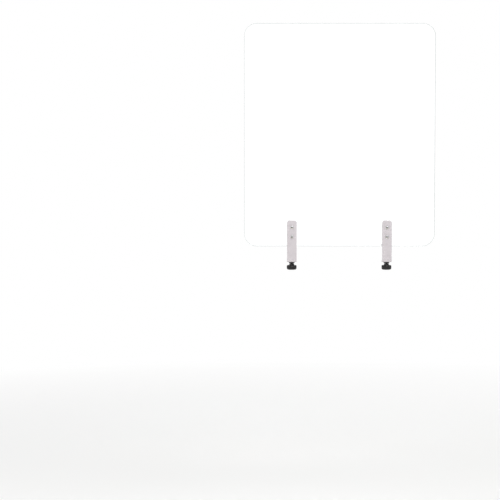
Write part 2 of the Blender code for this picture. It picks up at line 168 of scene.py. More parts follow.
def silverPowderCoat():
    material, tree, place = newMaterial("silverPowderCoat")
    peel = addNode(tree, "TexNoise", {"Vector": place, "Scale": 1 / coat["peel"], "Detail": 1.0})
    # real flake is 0.05 mm, drawn coarser so that it shows
    flake = addNode(tree, "TexNoise", {"Vector": place, "Scale": 1 / coat["flake"], "Detail": 0.0})
    cloud = addNode(tree, "TexNoise", {"Vector": place, "Scale": 1 / coat["cloud"], "Detail": 2.0})
    glitter = addNode(tree, "MapRange", {"Value": flake, **noiseSpan})
    film = addNode(tree, "Mix", {
        "Factor": glitter, "A": linear(coat["dark"]), "B": linear(coat["light"])}, data_type="RGBA")
    soft = addNode(tree, "Bevel", {"Radius": coat["edgeWidth"]}, samples=6)
    flat = addNode(tree, "NewGeometry").outputs["Normal"]
    same = addNode(tree, "VectorMath", {0: soft, 1: flat}, operation="DOT_PRODUCT").outputs["Value"]
    thin = addNode(tree, "MapRange", {"Value": same, **edgeSpan, "To Max": coat["edgeShare"]})
    colour = addNode(tree, "Mix", {
        "Factor": thin, "A": film, "B": linear(coat["edge"])}, data_type="RGBA")
    rough = addNode(tree, "MapRange", {
        "Value": cloud, **noiseSpan, "To Min": coat["satin"], "To Max": coat["matt"]})
    skin = addNode(tree, "Bump", {"Height": peel, "Distance": coat["peelDepth"], "Strength": 0.6})
    shader = addNode(tree, "BsdfPrincipled", {
        "Base Color": colour, "Metallic": coat["metal"], "Roughness": rough, "Normal": skin})
    addNode(tree, "OutputMaterial", {"Surface": shader})
    return material


# Clear-passivated zinc plate on turned steel: bright grey metal with faint blue to straw patches, fine
# turning marks, and painted shade, a near-black colour mixed in where corners and recesses close round
# it.
zinc = {"blue": "#D9DDE2", "straw": "#E0DCD4", "shadeColour": "#191715", "patch": 5 * mm, "mark": 3.14 * mm,
        "markDepth": 0.006 * mm, "bright": 0.26, "dull": 0.42, "recess": 2.6 * mm, "unshadedOrDry": 0.72,
        "fullShade": 0.45, "shadeShare": 0.95}


def zincPlate():
    material, tree, place = newMaterial("zincPlatedSteel")
    patch = addNode(tree, "TexNoise", {"Vector": place, "Scale": 1 / zinc["patch"], "Detail": 3.0})
    # real turning marks are 0.1 mm apart, drawn coarser so that they show; a wave runs through
    # 20 radians over its scale
    marks = addNode(tree, "TexWave", {
        "Vector": place, "Scale": 2 * math.pi / 20 / zinc["mark"], "Distortion": 1.5, "Detail": 2.0},
        wave_type="RINGS", rings_direction="Z")
    shift = addNode(tree, "MapRange", {"Value": patch, **noiseSpan})
    film = addNode(tree, "Mix", {
        "Factor": shift, "A": linear(zinc["blue"]), "B": linear(zinc["straw"])}, data_type="RGBA")
    # painted shade: where ambient occlusion finds nearby surfaces (corners, recesses, thread valleys,
    # the rims where heads meet the plate), the colour is mixed towards near-black
    openness = addNode(tree, "AmbientOcclusion", {"Distance": zinc["recess"]}, samples=8).outputs["AO"]
    shadeMask = addNode(tree, "MapRange", {
        "Value": openness, "From Min": zinc["unshadedOrDry"], "From Max": zinc["fullShade"],
        "To Max": zinc["shadeShare"]})
    colour = addNode(tree, "Mix", {
        "Factor": shadeMask, "A": film, "B": linear(zinc["shadeColour"])}, data_type="RGBA")
    rough = addNode(tree, "MapRange", {
        "Value": patch, **noiseSpan, "To Min": zinc["bright"], "To Max": zinc["dull"]})
    turnedSkin = addNode(tree, "Bump", {"Height": marks, "Distance": zinc["markDepth"], "Strength": 0.4})
    shader = addNode(tree, "BsdfPrincipled", {
        "Base Color": colour, "Metallic": 1.0, "Roughness": rough, "Normal": turnedSkin})
    addNode(tree, "OutputMaterial", {"Surface": shader})
    return material


# Cold-formed socket in the screw's head: painted shade, a dark brownish grey with a dull gleam standing
# in for the shade inside the socket.
socketSteel = {"shadeColour": "#1B1917", "steel": "#35322F", "patch": 1.2 * mm, "metal": 0.35, "wet": 0.42,
               "unshadedOrDry": 0.65}


def socketPaintedShade():
    material, tree, place = newMaterial("socketPaintedShade")
    patch = addNode(tree, "TexNoise", {
        "Vector": place, "Scale": 1 / socketSteel["patch"], "Detail": 3.0})
    shift = addNode(tree, "MapRange", {"Value": patch, **noiseSpan})
    # painted shade: both colours are dark, for the shade in the socket's hollow
    colour = addNode(tree, "Mix", {
        "Factor": shift, "A": linear(socketSteel["shadeColour"]), "B": linear(socketSteel["steel"])},
        data_type="RGBA")
    rough = addNode(tree, "MapRange", {
        "Value": patch, **noiseSpan, "To Min": socketSteel["wet"], "To Max": socketSteel["unshadedOrDry"]})
    shader = addNode(tree, "BsdfPrincipled", {
        "Base Color": colour, "Metallic": socketSteel["metal"], "Roughness": rough})
    addNode(tree, "OutputMaterial", {"Surface": shader})
    return material


# Black glass-filled nylon, injection moulded: near-black satin with a fine spark-eroded grain,
# a little greyer and shinier on the ridges that fingers rub.
black = {"base": "#121011", "pale": "#1A1719", "rubbed": "#343032", "grain": 0.45 * mm,
         "grainDepth": 0.025 * mm, "cloud": 9 * mm, "ior": 1.53, "satin": 0.36, "matt": 0.52,
         "edgeWidth": 0.6 * mm, "edgeShare": 0.5}


def mouldedBlackNylon():
    material, tree, place = newMaterial("mouldedBlackNylon")
    grain = addNode(tree, "TexNoise", {"Vector": place, "Scale": 1 / black["grain"], "Detail": 2.0})
    cloud = addNode(tree, "TexNoise", {"Vector": place, "Scale": 1 / black["cloud"], "Detail": 2.0})
    shift = addNode(tree, "MapRange", {"Value": cloud, **noiseSpan})
    body = addNode(tree, "Mix", {
        "Factor": shift, "A": linear(black["base"]), "B": linear(black["pale"])}, data_type="RGBA")
    soft = addNode(tree, "Bevel", {"Radius": black["edgeWidth"]}, samples=6)
    flat = addNode(tree, "NewGeometry").outputs["Normal"]
    same = addNode(tree, "VectorMath", {0: soft, 1: flat}, operation="DOT_PRODUCT").outputs["Value"]
    rubbed = addNode(tree, "MapRange", {"Value": same, **edgeSpan, "To Max": black["edgeShare"]})
    colour = addNode(tree, "Mix", {
        "Factor": rubbed, "A": body, "B": linear(black["rubbed"])}, data_type="RGBA")
    rough = addNode(tree, "MapRange", {
        "Value": cloud, **noiseSpan, "To Min": black["satin"], "To Max": black["matt"]})
    skin = addNode(tree, "Bump", {"Height": grain, "Distance": black["grainDepth"], "Strength": 0.5})
    shader = addNode(tree, "BsdfPrincipled", {
        "Base Color": colour, "Roughness": rough, "IOR": black["ior"], "Normal": skin})
    addNode(tree, "OutputMaterial", {"Surface": shader})
    return material


# Dark nitrile rubber, compression moulded: matt charcoal with the grain of the mould and grey dust.
rubber = {"base": "#1D1D1E", "dust": "#393733", "grain": 0.7 * mm, "grainDepth": 0.04 * mm,
          "speck": 2.5 * mm, "dustFrom": 0.5, "dustTo": 0.8, "dustShare": 0.8, "ior": 1.52,
          "rough": 0.72, "rougher": 0.9}


def nitrileRubber():
    material, tree, place = newMaterial("nitrileRubber")
    grain = addNode(tree, "TexNoise", {"Vector": place, "Scale": 1 / rubber["grain"], "Detail": 3.0})
    speck = addNode(tree, "TexNoise", {"Vector": place, "Scale": 1 / rubber["speck"], "Detail": 5.0})
    dusty = addNode(tree, "MapRange", {
        "Value": speck, "From Min": rubber["dustFrom"], "From Max": rubber["dustTo"],
        "To Max": rubber["dustShare"]})
    colour = addNode(tree, "Mix", {
        "Factor": dusty, "A": linear(rubber["base"]), "B": linear(rubber["dust"])}, data_type="RGBA")
    rough = addNode(tree, "MapRange", {
        "Value": speck, **noiseSpan, "To Min": rubber["rough"], "To Max": rubber["rougher"]})
    skin = addNode(tree, "Bump", {"Height": grain, "Distance": rubber["grainDepth"], "Strength": 0.6})
    shader = addNode(tree, "BsdfPrincipled", {
        "Base Color": colour, "Roughness": rough, "IOR": rubber["ior"], "Normal": skin})
    addNode(tree, "OutputMaterial", {"Surface": shader})
    return material


# Milky silicone sheet, calendered and die cut: pale and soft, with a low sheen and faint roll lines;
# light passes a little way into it.
silicone = {"base": "#CFD1D0", "cloudy": "#DEDEDB", "roll": 1.2 * mm, "rollStretch": (1, 1, 0.3),
            "rollDepth": 0.02 * mm, "ior": 1.41, "rough": 0.42, "rougher": 0.55, "milky": 0.25,
            "depth": 2 * mm, "spread": (1.0, 0.97, 0.93)}


def siliconeSheet():
    material, tree, place = newMaterial("siliconeSheet")
    along = addNode(tree, "Mapping", {"Vector": place, "Scale": silicone["rollStretch"]})
    roll = addNode(tree, "TexNoise", {"Vector": along, "Scale": 1 / silicone["roll"], "Detail": 2.0})
    shift = addNode(tree, "MapRange", {"Value": roll, **noiseSpan})
    colour = addNode(tree, "Mix", {
        "Factor": shift, "A": linear(silicone["base"]), "B": linear(silicone["cloudy"])},
        data_type="RGBA")
    rough = addNode(tree, "MapRange", {
        "Value": roll, **noiseSpan, "To Min": silicone["rough"], "To Max": silicone["rougher"]})
    skin = addNode(tree, "Bump", {"Height": roll, "Distance": silicone["rollDepth"], "Strength": 0.5})
    shader = addNode(tree, "BsdfPrincipled", {
        "Base Color": colour, "Roughness": rough, "IOR": silicone["ior"], "Normal": skin,
        "Subsurface Weight": silicone["milky"], "Subsurface Scale": silicone["depth"],
        "Subsurface Radius": silicone["spread"]})
    addNode(tree, "OutputMaterial", {"Surface": shader})
    return material


# Natural nylon, turned from rod: creamy white and slightly see-through, with fine tool marks.
nylon = {"base": "#E6E2D6", "pale": "#EFEDE4", "mark": 0.4 * mm, "markStretch": (0.1, 0.1, 1),
         "markDepth": 0.01 * mm, "ior": 1.53, "rough": 0.4, "rougher": 0.55, "milky": 0.15,
         "depth": 1 * mm, "spread": (1.0, 0.93, 0.82)}


def turnedNylon():
    material, tree, place = newMaterial("turnedNylon")
    around = addNode(tree, "Mapping", {"Vector": place, "Scale": nylon["markStretch"]})
    marks = addNode(tree, "TexNoise", {"Vector": around, "Scale": 1 / nylon["mark"], "Detail": 2.0})
    shift = addNode(tree, "MapRange", {"Value": marks, **noiseSpan})
    colour = addNode(tree, "Mix", {
        "Factor": shift, "A": linear(nylon["base"]), "B": linear(nylon["pale"])}, data_type="RGBA")
    rough = addNode(tree, "MapRange", {
        "Value": marks, **noiseSpan, "To Min": nylon["rough"], "To Max": nylon["rougher"]})
    skin = addNode(tree, "Bump", {"Height": marks, "Distance": nylon["markDepth"], "Strength": 0.5})
    shader = addNode(tree, "BsdfPrincipled", {
        "Base Color": colour, "Roughness": rough, "IOR": nylon["ior"], "Normal": skin,
        "Subsurface Weight": nylon["milky"], "Subsurface Scale": nylon["depth"],
        "Subsurface Radius": nylon["spread"]})
    addNode(tree, "OutputMaterial", {"Surface": shader})
    return material


finish = {"sheet": castAcrylic(), "sheetEdge": polishedAcrylicEdge(), "coat": silverPowderCoat(),
          "zinc": zincPlate(), "socket": socketPaintedShade(), "black": mouldedBlackNylon(),
          "rubber": nitrileRubber(), "silicone": siliconeSheet(), "nylon": turnedNylon()}
print("materials made:", len(finish))


def makeObject(name, shape):
    # turns a shape into an object that stands in the scene
    mesh = bpy.data.meshes.new(name)
    shape.to_mesh(mesh)
    shape.free()
    made = bpy.data.objects.new(name, mesh)
    bpy.context.scene.collection.objects.link(made)
    return made


def addPiece(name, shape, kind, node, body, centre=(0, 0, 0), back=False, smooth=30):
    # puts a finished mesh in place of its CAD node; back turns its own +Z to +Y
    bmesh.ops.recalc_face_normals(shape, faces=shape.faces)
    piece = makeObject(name, shape)
    piece.data.shade_smooth()
    piece.data.set_sharp_from_angle(angle=math.radians(smooth))
    piece.data.materials.append(finish[kind])
    piece.location = centre
    if back:
        piece.rotation_euler = (-math.pi / 2, 0, 0)
    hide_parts(node)
    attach(piece, body)
    return piece


def filleted(points, steps=5):
    # rounds the corners of a line of (radius, height, fillet) points
    line = []
    for i, point in enumerate(points):
        corner = Vector(point[:2])
        if len(point) < 3:
            line.append(tuple(corner))
            continue
        before = (Vector(points[i - 1][:2]) - corner).normalized()
        after = (Vector(points[(i + 1) % len(points)][:2]) - corner).normalized()
        half = before.angle(after) / 2
        centre = corner + (before + after).normalized() * (point[2] / math.sin(half))
        start = corner + before * (point[2] / math.tan(half)) - centre
        end = corner + after * (point[2] / math.tan(half)) - centre
        for k in range(steps + 1):
            line.append(tuple(centre + start.slerp(end, k / steps).normalized() * point[2]))
    return line


def turned(line, steps=48, reshape=None, ring=False):
    # turns a line of (radius, height) about Z; reshape gives the radius at an angle and height,
    # and a ring's line closes on itself round a hole
    shape = bmesh.new()
    rows = []
    for radius, height in line:
        if radius < 1e-7:
            rows.append([shape.verts.new((0, 0, height))] * steps)
            continue
        row = []
        for i in range(steps):
            angle = 2 * math.pi * i / steps
            r = reshape(radius, angle, height) if reshape else radius
            row.append(shape.verts.new((r * math.cos(angle), r * math.sin(angle), height)))
        rows.append(row)
    pairs = list(zip(rows, rows[1:]))
    if ring:
        pairs.append((rows[-1], rows[0]))
    for upper, lower in pairs:
        for i in range(steps):
            around = (i + 1) % steps
            corners = [upper[i], lower[i], lower[around], upper[around]]
            corners = [c for k, c in enumerate(corners) if c not in corners[:k]]
            if len(corners) > 2:
                shape.faces.new(corners)
    return shape


rimAngle = math.radians(50)  # edges sharper than this are rims


def slab(outline, low, high, upright=True, rounding=0.3 * mm, steps=3):
    # a flat piece cut to an outline, from one depth or height to another, with rounded rims
    shape = bmesh.new()
    spots = [(u, low, v) if upright else (u, v, low) for u, v in outline]
    face = shape.faces.new([shape.verts.new(spot) for spot in spots])
    raised = bmesh.ops.extrude_face_region(shape, geom=[face])["geom"]
    lift = Vector((0, high - low, 0)) if upright else Vector((0, 0, high - low))
    bmesh.ops.translate(shape, verts=[v for v in raised if isinstance(v, bmesh.types.BMVert)], vec=lift)
    bmesh.ops.recalc_face_normals(shape, faces=shape.faces)
    rims = [e for e in shape.edges if e.calc_face_angle(0) > rimAngle]
    bmesh.ops.bevel(shape, geom=rims, offset=rounding, segments=steps, profile=0.5, affect="EDGES")
    return shape


def roundedRectangle(low, high, radius, steps=12):
    outline = []
    for quarter, (u, v) in enumerate(((1, 1), (0, 1), (0, 0), (1, 0))):
        across = high[0] - radius if u else low[0] + radius
        along = high[1] - radius if v else low[1] + radius
        for i in range(steps + 1):
            angle = math.pi / 2 * (quarter + i / steps)
            outline.append((across + radius * math.cos(angle), along + radius * math.sin(angle)))
    return outline


def bentStrip(width, front, top, bottom, reach, thick, bend, corner, rounding):
    # outer face of a strip that comes down, bends once and runs back; the steel is inside it
    steps = 10
    path = [(front, top)]
    for i in range(steps + 1):
        angle = math.pi / 2 * i / steps
        path.append((front + bend * (1 - math.cos(angle)), bottom + bend * (1 - math.sin(angle))))
    path.append((reach, bottom))
    shape = bmesh.new()
    row = [shape.verts.new((-width / 2, y, z)) for y, z in path]
    run = [shape.edges.new(pair) for pair in zip(row, row[1:])]
    made = bmesh.ops.extrude_edge_only(shape, edges=run)["geom"]
    far = [v for v in made if isinstance(v, bmesh.types.BMVert)]
    bmesh.ops.translate(shape, verts=far, vec=(width, 0, 0))
    ends = [v for v in shape.verts if v.co.z > top - 1e-6 or v.co.y > reach - 1e-6]
    bmesh.ops.bevel(shape, geom=ends, offset=corner, segments=12, profile=0.5, affect="VERTICES")
    bmesh.ops.recalc_face_normals(shape, faces=shape.faces)
    if min(shape.faces, key=lambda face: face.calc_center_median().y).normal.y > 0:
        bmesh.ops.reverse_faces(shape, faces=shape.faces)
    blank = makeObject("sheetSteel", shape)
    steel = blank.modifiers.new("thickness", "SOLIDIFY")
    steel.thickness = thick
    steel.offset = -1
    steel.use_even_offset = True
    rim = blank.modifiers.new("sheared edge", "BEVEL")
    rim.width = rounding
    rim.segments = 3
    rim.limit_method = "ANGLE"
    rim.angle_limit = rimAngle
    settle(blank)
    shape = bmesh.new()
    shape.from_mesh(blank.data)
    bpy.data.objects.remove(blank)
    return shape


def settle(piece):
    # turns a piece's modifiers into its mesh
    bpy.context.view_layer.update()
    mesh = bpy.data.meshes.new_from_object(piece.evaluated_get(bpy.context.evaluated_depsgraph_get()))
    piece.modifiers.clear()
    piece.data = mesh


def cut(piece, tool):
    # takes a tool's shape out of a piece and puts the tool away
    hole = piece.modifiers.new("cut", "BOOLEAN")
    hole.object = tool
    hole.solver = "EXACT"
    settle(piece)
    bpy.data.objects.remove(tool)


def drill(piece, centre, radius, low, high, flare, back=True):
    # a hole from low to high with its two rims eased; back runs it along Y
    spare = 1 * mm
    wide = radius + flare + spare
    shape = turned([(0, high + spare), (wide, high + spare), (radius, high - flare),
                    (radius, low + flare), (wide, low - spare), (0, low - spare)])
    bmesh.ops.recalc_face_normals(shape, faces=shape.faces)
    bit = makeObject("drillBit", shape)
    bit.location = (centre.x, 0, centre.z) if back else (centre.x, centre.y, 0)
    if back:
        bit.rotation_euler = (-math.pi / 2, 0, 0)
    cut(piece, bit)


def flattenShading(piece):
    # big flats keep true normals beside their rounded rims
    piece.data.shade_smooth()
    piece.data.set_sharp_from_angle(angle=math.radians(30))
    even = piece.modifiers.new("even shading", "WEIGHTED_NORMAL")
    even.keep_sharp = True
    settle(piece)


def middle(node):
    low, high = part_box(node)
    return (low + high) / 2


def measure(node):
    # a round piece's low and high corners, its middle and its radius
    low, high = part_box(node)
    return low, high, middle(node), (high.x - low.x) / 2


# The solids keep 0.3 mm apart where pieces really press on each other; shown pieces close that gap.
gap = 0.3 * mm
press = 0.28 * mm


def hexagon(across):
    # reshapes a radius to stay inside a hexagon
    def reshape(radius, angle, height):
        return min(radius, across / 2 / math.cos(angle % (math.pi / 3) - math.pi / 6))
    return reshape


# clear sheet: one cast sheet with big rounded corners and four drilled holes
sheet = {"corner": 40 * mm, "rounding": 0.9 * mm, "holeGap": 0.3 * mm, "holeFlare": 0.4 * mm}


def makeSheet():
    low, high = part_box("clear_panel")
    outline = roundedRectangle((low.x, low.z), (high.x, high.z), sheet["corner"], 32)
    shape = slab(outline, low.y, high.y, rounding=sheet["rounding"], steps=4)
    piece = addPiece("clearSheet", shape, "sheet", "clear_panel", "screen")
    for side in sides:
        for level in levels:
            _, _, centre, radius = measure(f"{side}_{level}_sleeve")
            drill(piece, centre, radius + sheet["holeGap"], low.y, high.y, sheet["holeFlare"])
    piece.data.materials.append(finish["sheetEdge"])
    for face in piece.data.polygons:
        face.material_index = 0 if abs(face.normal.y) > 0.999 else 1
    flattenShading(piece)


# steel plates: the arm in front that turns back under the desk, and the plate behind
plate = {"bend": 4.5 * mm, "corner": 8 * mm, "rounding": 0.55 * mm, "thick": 3 * mm,
         "screwHole": 3.3 * mm, "bushHole": 6.3 * mm, "flare": 0.35 * mm}


def makePlates(side):
    for node, name in ((f"{side}_clamp_arm", f"{side}Arm"), (f"{side}_back_plate", f"{side}BackPlate")):
        low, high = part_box(node)
        shape = bentStrip(
            high.x - low.x, low.y, high.z, low.z, high.y, plate["thick"], plate["bend"],
            plate["corner"], plate["rounding"])
        piece = addPiece(name, shape, "coat", node, "screen", (middle(node).x, 0, 0))
        for level in levels:
            drill(piece, middle(f"{side}_{level}_screw"), plate["screwHole"], low.y,
                  low.y + plate["thick"], plate["flare"])
        if node.endswith("arm"):
            drill(piece, middle(f"{side}_screw_bush"), plate["bushHole"], low.z,
                  low.z + plate["thick"], plate["flare"], back=False)
        flattenShading(piece)


# soft sheets between steel and acrylic, cut from a roll
gasket = {"corner": 7.5 * mm, "rounding": 0.4 * mm, "hole": 3.3 * mm, "flare": 0.1 * mm}


def makeGaskets(side):
    for place in ("front", "rear"):
        node = f"{side}_{place}_gasket"
        low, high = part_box(node)
        front, back = low.y - press, high.y + press
        outline = roundedRectangle((low.x, low.z), (high.x, high.z), gasket["corner"])
        shape = slab(outline, front, back, rounding=gasket["rounding"])
        piece = addPiece(f"{side}{place.title()}Gasket", shape, "silicone", node, "screen")
        for level in levels:
            drill(piece, middle(f"{side}_{level}_screw"), gasket["hole"], front, back, gasket["flare"])
        flattenShading(piece)


# button-head screw through the sandwich, with a hexagon socket
screw = {"shank": 3.0 * mm, "point": 0.5 * mm, "head": 3.3 * mm, "rim": 0.6 * mm, "rimEase": 0.2 * mm,
         "land": 0.2 * mm, "domeSteps": 12, "socket": 4.0 * mm, "socketDeep": 2.2 * mm,
         "socketCone": 0.6 * mm, "ease": 0.25 * mm}


def makeScrew(side, level):
    node = f"{side}_{level}_screw"
    low, high, centre, radius = measure(node)
    headBase = low.y + screw["head"] + press
    rimEnd = headBase - screw["rim"]
    corner = screw["socket"] / 2 / math.cos(math.pi / 6)
    land = corner + screw["ease"] + screw["land"]
    floor = low.y + screw["socketDeep"]
    line = [(0, high.y), (screw["shank"] - screw["point"], high.y),
            (screw["shank"], high.y - screw["point"]), (screw["shank"], headBase)]
    line += filleted([
        (screw["shank"], headBase), (radius, headBase, screw["rimEase"]), (radius, rimEnd)])[1:]
    for i in range(1, screw["domeSteps"] + 1):
        angle = math.pi / 2 * i / screw["domeSteps"]
        line.append((land + (radius - land) * math.cos(angle),
                     rimEnd - (screw["head"] - screw["rim"]) * math.sin(angle)))
    line += [(corner + screw["ease"], low.y), (corner, low.y + screw["ease"]), (corner, floor),
             (0, floor + screw["socketCone"])]
    socket = hexagon(screw["socket"])

    def reshape(r, angle, height):
        return socket(r, angle, height) if r <= corner * 1.001 and height < headBase else r
    piece = addPiece(f"{side}{level.title()}Screw", turned(line, 96, reshape), "zinc", node, "screen",
                     (centre.x, 0, centre.z), back=True)
    # painted shade: the socket's walls and floor take the dark socket material
    piece.data.materials.append(finish["socket"])
    for face in piece.data.polygons:
        across = math.hypot(face.center.x, face.center.y)
        if across < corner and low.y + screw["ease"] < face.center.z < headBase:
            face.material_index = 1


# acorn nut on the screw's end behind the rear plate
nut = {"across": 10 * mm, "hex": 5.5 * mm, "dome": 4.75 * mm, "domeSteps": 14, "chamfer": 0.5 * mm,
       "chamferSteps": 6, "spare": 0.02 * mm, "bore": 3.3 * mm, "boreEase": 0.5 * mm,
       "boreDeep": 8.6 * mm, "boreCone": 1 * mm}


def makeNut(side, level):
    node = f"{side}_{level}_cap_nut"
    low, high, centre, _ = measure(node)
    hexBack = low.y + nut["hex"]
    boreEnd = low.y + nut["boreDeep"]
    flat = nut["across"] / 2
    corner = flat / math.cos(math.pi / 6) + nut["spare"]
    line = [(0, high.y)]
    for i in range(1, nut["domeSteps"] + 1):
        angle = math.pi / 2 * i / nut["domeSteps"]
        line.append((nut["dome"] * math.sin(angle), high.y - nut["dome"] * (1 - math.cos(angle))))
    line.append((nut["dome"], hexBack))
    shares = [i / nut["chamferSteps"] for i in range(nut["chamferSteps"] + 1)]
    line += [(flat + (corner - flat) * share, hexBack - nut["chamfer"] * share) for share in shares]
    line += [(flat + (corner - flat) * share, low.y + nut["chamfer"] * share) for share in shares[::-1]]
    line += [(nut["bore"] + nut["boreEase"], low.y), (nut["bore"], low.y + nut["boreEase"]),
             (nut["bore"], boreEnd), (0, boreEnd + nut["boreCone"])]
    addPiece(f"{side}{level.title()}CapNut", turned(line, 96, hexagon(nut["across"])), "zinc", node,
             "screen", (centre.x, 0, centre.z), back=True)


# washer under the nut, stamped: rounded on one rim and sharp on the other
washer = {"hole": 3.3 * mm, "stamped": 0.5 * mm, "burr": 0.12 * mm}


def makeWasher(side, level):
    node = f"{side}_{level}_washer"
    low, high, centre, radius = measure(node)
    front, back = low.y - press, high.y + press
    line = filleted([
        (radius, back, washer["stamped"]), (radius, front, washer["burr"]),
        (washer["hole"], front, washer["burr"]), (washer["hole"], back, washer["stamped"])])
    addPiece(f"{side}{level.title()}Washer", turned(line, 64, ring=True), "zinc", node, "screen",
             (centre.x, 0, centre.z), back=True)


# sleeve that keeps the screw off the acrylic
sleeve = {"hole": 3.3 * mm, "outerEase": 0.3 * mm, "innerEase": 0.2 * mm}


def makeSleeve(side, level):
    node = f"{side}_{level}_sleeve"
    low, high, centre, radius = measure(node)
    line = filleted([
        (radius, high.y, sleeve["outerEase"]), (radius, low.y, sleeve["outerEase"]),
        (sleeve["hole"], low.y, sleeve["innerEase"]), (sleeve["hole"], high.y, sleeve["innerEase"])], 3)
    addPiece(f"{side}{level.title()}Sleeve", turned(line, 48, ring=True), "nylon", node, "screen",
             (centre.x, 0, centre.z), back=True)


# rubber pad under the rear plate's foot, grooved where it grips the desk
pad = {"corner": 7 * mm, "rounding": 0.35 * mm, "grooves": 14, "groove": 0.9 * mm,
       "grooveDeep": 0.5 * mm, "border": 2.5 * mm, "endGroove": 2.5 * mm}


def makeJawPad(side):
    node = f"{side}_jaw_pad"
    low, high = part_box(node)
    outline = roundedRectangle((low.x, low.y), (high.x, high.y), pad["corner"])
    shape = slab(outline, low.z, high.z + press, False, pad["rounding"])
    piece = addPiece(f"{side}JawPad", shape, "rubber", node, "screen")
    shape = bmesh.new()
    first, last = low.y + pad["border"], high.y - pad["border"]
    for i in range(pad["grooves"]):
        y = first + (last - first) * i / (pad["grooves"] - 1)
        # the first and last grooves stay clear of the rounded corners
        shorter = pad["endGroove"] if i in (0, pad["grooves"] - 1) else 0
        reach = (high.x - low.x) / 2 - pad["border"] - shorter
        bar = bmesh.ops.create_cube(shape, size=1)["verts"]
        bmesh.ops.scale(shape, verts=bar, vec=(2 * reach, pad["groove"], 2 * pad["grooveDeep"]))
        bmesh.ops.translate(shape, verts=bar, vec=(middle(node).x, y, low.z))
    cut(piece, makeObject("grooves", shape))
    flattenShading(piece)


# flanged bush in the lower jaw; its lip is over the steel and its ridged flange under it
bush = {"body": 6.0 * mm, "hole": 4.3 * mm, "lip": 7.3 * mm, "lipTop": 0.35 * mm, "lipUnder": 0.25 * mm,
        "mouth": 0.6 * mm, "exit": 0.4 * mm, "ease": 0.5 * mm, "ridges": 40, "ridgeDeep": 0.3 * mm}


def makeBush(side):
    node = f"{side}_screw_bush"
    low, high, centre, radius = measure(node)
    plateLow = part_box(f"{side}_clamp_arm")[0].z
    lipLow = plateLow + plate["thick"] + gap - press
    flangeTop = plateLow - gap + press
    line = filleted([
        (bush["lip"], high.z, bush["lipTop"]), (bush["lip"], lipLow, bush["lipUnder"]),
        (bush["body"], lipLow), (bush["body"], flangeTop), (radius, flangeTop, bush["ease"]),
        (radius, low.z, 2 * bush["ease"]), (bush["hole"], low.z, bush["mouth"]),
        (bush["hole"], high.z, bush["exit"])])

    def knurl(r, angle, height):
        if r < radius - 0.5 * bush["ease"] or height > flangeTop:
            return r
        return r - bush["ridgeDeep"] * (0.5 - 0.5 * math.cos(bush["ridges"] * angle))
    addPiece(f"{side}ScrewBush", turned(line, 240, knurl, ring=True), "black", node, "screen",
             (centre.x, centre.y, 0))


# clamping screw: threaded spindle with a grooved tip for the foot's clip
thread = {"pitch": 1.25 * mm, "deep": 0.68 * mm, "crest": 0.125, "rowsPerTurn": 10, "steps": 40}
spindle = {"tip": 2.5 * mm, "tipEase": 0.4 * mm, "groove": 1.7 * mm, "ease": 0.5 * mm, "plain": 2.0 * mm}


def makeSpindle(side):
    node = f"{side}_spindle"
    low, high, centre, radius = measure(node)
    clipLow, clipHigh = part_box(f"{side}_retaining_clip")
    grooveLow, grooveHigh = clipLow.z - gap, clipHigh.z + gap
    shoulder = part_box(f"{side}_pressure_foot")[0].z - gap + press
    top, bottom = shoulder - spindle["ease"], low.z + spindle["ease"]
    line = filleted([
        (0, high.z), (spindle["tip"], high.z, spindle["tipEase"]), (spindle["tip"], grooveHigh),
        (spindle["groove"], grooveHigh), (spindle["groove"], grooveLow), (spindle["tip"], grooveLow),
        (spindle["tip"], shoulder), (radius - spindle["ease"], shoulder), (radius, top)], 4)
    rows = round((top - bottom) / thread["pitch"] * thread["rowsPerTurn"])
    line += [(radius, top + (bottom - top) * i / rows) for i in range(1, rows + 1)]
    line += [(radius - spindle["ease"], low.z), (0, low.z)]

    def helix(r, angle, height):
        # right-hand V thread with flat crests and roots, fading out at both ends
        if r < radius - 1e-6:
            return r
        turn = (height / thread["pitch"] - angle / (2 * math.pi)) % 1
        rise = abs(turn - 0.5) * 2 * (1 + 2 * thread["crest"]) - thread["crest"]
        flank = min(1, max(0, rise))
        fade = min(1, (top - height) / spindle["plain"], (height - bottom) / spindle["plain"])
        return r - thread["deep"] * (1 - flank) * max(0, fade)
    addPiece(f"{side}Spindle", turned(line, thread["steps"], helix), "zinc", node, f"{side}_screw",
             (centre.x, centre.y, 0), smooth=45)


# sprung E-clip, its mouth and prongs in degrees
clip = {"mouth": 52, "prong": 24, "notch": 0.9 * mm, "rounding": 0.12 * mm, "steps": 60}


def makeClip(side):
    # open at the front, with three prongs that reach into the tip's groove
    node = f"{side}_retaining_clip"
    low, high, _, outer = measure(node)
    inner = spindle["groove"] + gap
    half = math.radians(clip["mouth"])
    turns = [-math.pi / 2 + half + (2 * math.pi - 2 * half) * i / clip["steps"]
             for i in range(clip["steps"] + 1)]
    outline = [(outer * math.cos(a), outer * math.sin(a)) for a in turns]
    prongs = (-90 + clip["mouth"], 90, 270 - clip["mouth"])
    for a in reversed(turns):
        near = min(abs(math.degrees(a) - prong) for prong in prongs)
        r = inner if near < clip["prong"] else inner + clip["notch"]
        outline.append((r * math.cos(a), r * math.sin(a)))
    shape = slab(outline, low.z, high.z, False, clip["rounding"], 2)
    centre = middle(f"{side}_spindle")
    addPiece(f"{side}RetainingClip", shape, "zinc", node, f"{side}_screw", (centre.x, centre.y, 0))


# swivelling foot, ridged round its side and hollow on top
foot = {"hole": 2.8 * mm, "recess": 6.0 * mm, "innerEase": 0.3 * mm, "floor": 2.2 * mm,
        "topEase": 0.4 * mm, "step": 0.8 * mm, "stepHigh": 1.4 * mm, "stepEase": 0.3 * mm,
        "stepLow": 1.2 * mm, "waistEase": 0.2 * mm, "underEase": 0.5 * mm, "ridges": 48,
        "ridgeDeep": 0.2 * mm}


